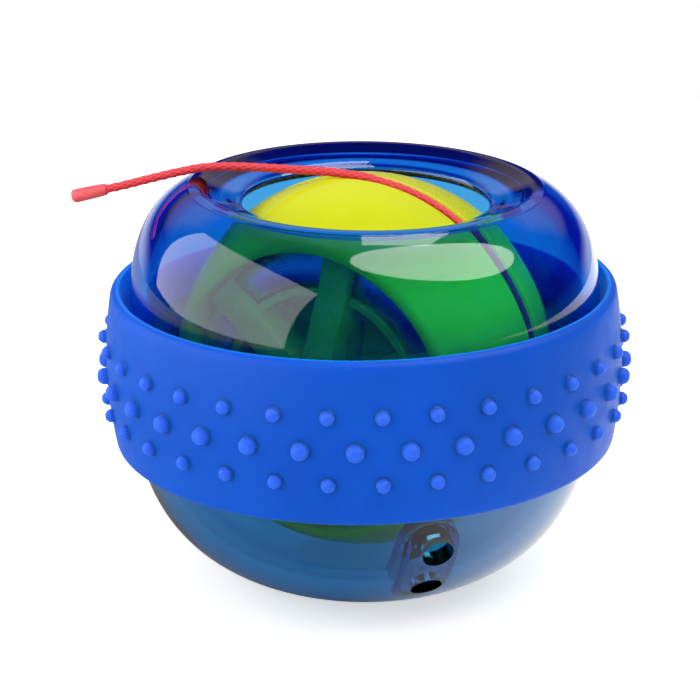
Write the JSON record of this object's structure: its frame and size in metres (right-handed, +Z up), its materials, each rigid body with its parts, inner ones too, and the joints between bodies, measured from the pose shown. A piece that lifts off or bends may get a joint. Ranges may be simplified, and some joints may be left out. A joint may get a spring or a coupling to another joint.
{
  "type": "gyroscopic wrist ball",
  "caption": "Hand-held gyroscopic exercise ball: clear blue shells, a nubbed silicone grip band and a yellow flywheel rotor with its starter cord wound in the groove.",
  "frame": {"origin": "centre of the flat foot under the ball, on the surface that it stands on", "axes": "+Z up along the housing's axis through the middle of the mouth, -Y towards the viewer of the picture, +X to the viewer's right; the cord's free end leaves towards -X"},
  "size_m": [0.078, 0.074, 0.0578],
  "materials": {
    "clear_blue_upper": "polished clear deep blue plastic",
    "clear_blue_lower": "polished clear pale blue plastic",
    "silicone_band": "satin blue silicone",
    "race_plastic": "black acetal",
    "ring_plastic": "white nylon",
    "rotor_plastic": "glossy moulded yellow plastic",
    "turned_steel": "turned steel ring",
    "hub_plastic": "moulded yellow plastic",
    "axle_steel": "ground steel",
    "cord_braid": "braided red polyester",
    "cord_plastic": "moulded red plastic"
  },
  "bodies": {
    "housing": {"upper_shell": "clear_blue_upper", "lower_shell": "clear_blue_lower", "grip_band": "silicone_band", "race_ring_upper": "race_plastic", "race_ring_lower": "race_plastic"},
    "carrier": {"carrier_ring": "ring_plastic", "cord_winding": "cord_braid", "cord_free": "cord_braid", "cord_cap": "cord_plastic"},
    "rotor": {"rotor_half_front": "rotor_plastic", "rotor_half_back": "rotor_plastic", "weight_ring_front": "turned_steel", "weight_ring_back": "turned_steel", "hub_cap_front": "hub_plastic", "hub_cap_back": "hub_plastic", "axle": "axle_steel", "axle_collar_front": "axle_steel", "axle_collar_back": "axle_steel", "cord_tip": "cord_plastic"}
  },
  "joints": [
    {"name": "ring_precession", "type": "hinge", "parent": "housing", "child": "carrier", "pos_m": [0, 0, 0.03074], "axis": [0, 0, 1], "continuous": true},
    {"name": "rotor_spin", "type": "hinge", "parent": "carrier", "child": "rotor", "pos_m": [0, 0, 0.03074], "axis": [-0.454, -0.891, 0], "continuous": true}
  ]
}
